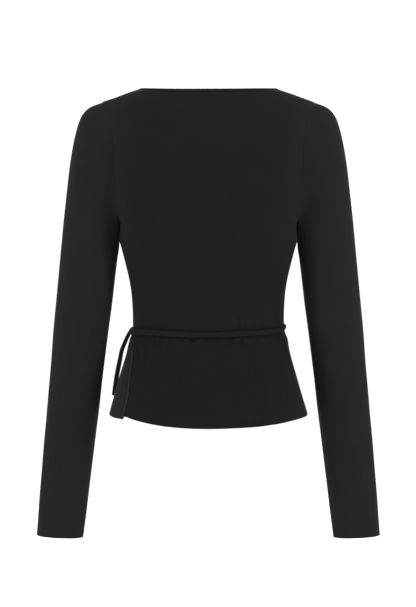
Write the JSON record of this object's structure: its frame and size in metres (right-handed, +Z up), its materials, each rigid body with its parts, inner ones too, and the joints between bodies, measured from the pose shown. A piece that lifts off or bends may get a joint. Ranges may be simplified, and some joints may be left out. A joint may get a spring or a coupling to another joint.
{
  "type": "wrap top",
  "caption": "Long-sleeved wrap top in black jersey, open as worn, with a crossed front, a fitted waist, a short flared skirt and a narrow tie knotted at the left side.",
  "frame": {"origin": "Between the shoulders, midway between the high points of the two shoulder seams and level with them.", "axes": "+X is the wearer's right, +Y is the wearer's front, and +Z is up from the hem to the neck."},
  "size_m": [0.5168, 0.2397, 0.6774],
  "materials": {
    "back_jersey": "matt fine jersey",
    "front_right_jersey": "matt fine jersey",
    "front_left_jersey": "matt fine jersey",
    "sleeve_right_jersey": "matt fine jersey",
    "sleeve_left_jersey": "matt fine jersey",
    "neckband_back_jersey": "matt fine jersey",
    "neckband_right_jersey": "matt fine jersey",
    "neckband_left_jersey": "matt fine jersey",
    "tie_jersey": "matt fine jersey",
    "tie_knot_jersey": "matt fine jersey",
    "tie_tail_jersey": "matt fine jersey",
    "tie_tail_front_jersey": "matt fine jersey"
  },
  "bodies": {
    "root": {"back": "back_jersey", "front_right": "front_right_jersey", "front_left": "front_left_jersey", "sleeve_right": "sleeve_right_jersey", "sleeve_left": "sleeve_left_jersey", "neckband_back": "neckband_back_jersey", "neckband_right": "neckband_right_jersey", "neckband_left": "neckband_left_jersey", "tie_back": "tie_jersey", "tie_knot": "tie_knot_jersey", "tie_tail": "tie_tail_jersey", "tie_tail_front": "tie_tail_front_jersey"}
  },
  "joints": []
}
